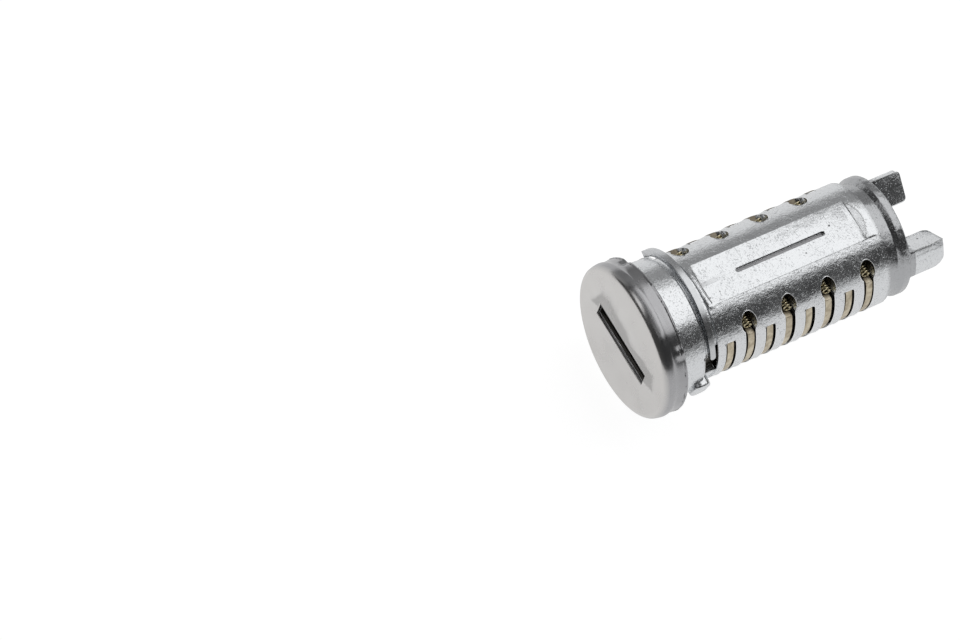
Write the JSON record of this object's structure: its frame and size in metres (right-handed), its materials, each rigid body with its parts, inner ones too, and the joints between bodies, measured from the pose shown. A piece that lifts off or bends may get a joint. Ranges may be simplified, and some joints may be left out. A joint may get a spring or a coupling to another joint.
{
  "type": "car door lock cylinder plug",
  "caption": "Die-cast plug of a car door lock with a steel front cap, sprung wafers, a retaining ring and drive tangs.",
  "frame": {"origin": "on the plug's axis, in the plane of the front cap's face, at the middle of the keyway's mouth", "axes": "+X along the axis towards the drive tangs, +Y along the keyway's long side, +Z towards the flat land"},
  "size_m": [0.0446, 0.0214, 0.0214],
  "materials": {
    "cast_zinc": "die-cast zinc, satin, scuffed and spotted",
    "polished_steel": "pressed stainless steel, polished",
    "ring_steel": "zinc-plated spring steel",
    "shutter_steel": "stamped steel, plain",
    "spring_steel": "drawn spring wire",
    "wafer_brass": "stamped brass, dull",
    "spring_bronze": "phosphor bronze wire"
  },
  "bodies": {
    "plug": {"plug_body": "cast_zinc", "front_cap": "polished_steel", "retaining_ring": "ring_steel", "wafer_spring_1": "spring_bronze", "wafer_spring_2": "spring_bronze", "wafer_spring_3": "spring_bronze", "wafer_spring_4": "spring_bronze", "wafer_spring_5": "spring_bronze", "wafer_spring_6": "spring_bronze", "wafer_spring_7": "spring_bronze", "wafer_spring_8": "spring_bronze", "shutter_spring": "spring_steel"},
    "wafer_1": {"wafer_1": "wafer_brass"},
    "wafer_2": {"wafer_2": "wafer_brass"},
    "wafer_3": {"wafer_3": "wafer_brass"},
    "wafer_4": {"wafer_4": "wafer_brass"},
    "wafer_5": {"wafer_5": "wafer_brass"},
    "wafer_6": {"wafer_6": "wafer_brass"},
    "wafer_7": {"wafer_7": "wafer_brass"},
    "wafer_8": {"wafer_8": "wafer_brass"},
    "shutter": {"shutter": "shutter_steel"}
  },
  "joints": [
    {"name": "wafer_1_slide", "type": "slide", "parent": "plug", "child": "wafer_1", "axis": [0, -1, 0], "range_m": [0, 0.0009], "stiffness_N_per_m": 20, "springref_m": 0.004, "deforming": ["wafer_spring_1"]},
    {"name": "wafer_2_slide", "type": "slide", "parent": "plug", "child": "wafer_2", "axis": [0, 1, 0], "range_m": [0, 0.0009], "stiffness_N_per_m": 20, "springref_m": 0.004, "deforming": ["wafer_spring_2"]},
    {"name": "wafer_3_slide", "type": "slide", "parent": "plug", "child": "wafer_3", "axis": [0, -1, 0], "range_m": [0, 0.0009], "stiffness_N_per_m": 20, "springref_m": 0.004, "deforming": ["wafer_spring_3"]},
    {"name": "wafer_4_slide", "type": "slide", "parent": "plug", "child": "wafer_4", "axis": [0, 1, 0], "range_m": [0, 0.0009], "stiffness_N_per_m": 20, "springref_m": 0.004, "deforming": ["wafer_spring_4"]},
    {"name": "wafer_5_slide", "type": "slide", "parent": "plug", "child": "wafer_5", "axis": [0, -1, 0], "range_m": [0, 0.0009], "stiffness_N_per_m": 20, "springref_m": 0.004, "deforming": ["wafer_spring_5"]},
    {"name": "wafer_6_slide", "type": "slide", "parent": "plug", "child": "wafer_6", "axis": [0, 1, 0], "range_m": [0, 0.0009], "stiffness_N_per_m": 20, "springref_m": 0.004, "deforming": ["wafer_spring_6"]},
    {"name": "wafer_7_slide", "type": "slide", "parent": "plug", "child": "wafer_7", "axis": [0, -1, 0], "range_m": [0, 0.0009], "stiffness_N_per_m": 20, "springref_m": 0.004, "deforming": ["wafer_spring_7"]},
    {"name": "wafer_8_slide", "type": "slide", "parent": "plug", "child": "wafer_8", "axis": [0, 1, 0], "range_m": [0, 0.0009], "stiffness_N_per_m": 20, "springref_m": 0.004, "deforming": ["wafer_spring_8"]},
    {"name": "shutter_hinge", "type": "hinge", "parent": "plug", "child": "shutter", "pos_m": [0.0014, 0, 0.00195], "axis": [0, -1, 0], "range_deg": [0, 90], "stiffness_Nm_per_rad": 0.00002, "springref_deg": -57.3, "deforming": ["shutter_spring"]}
  ]
}
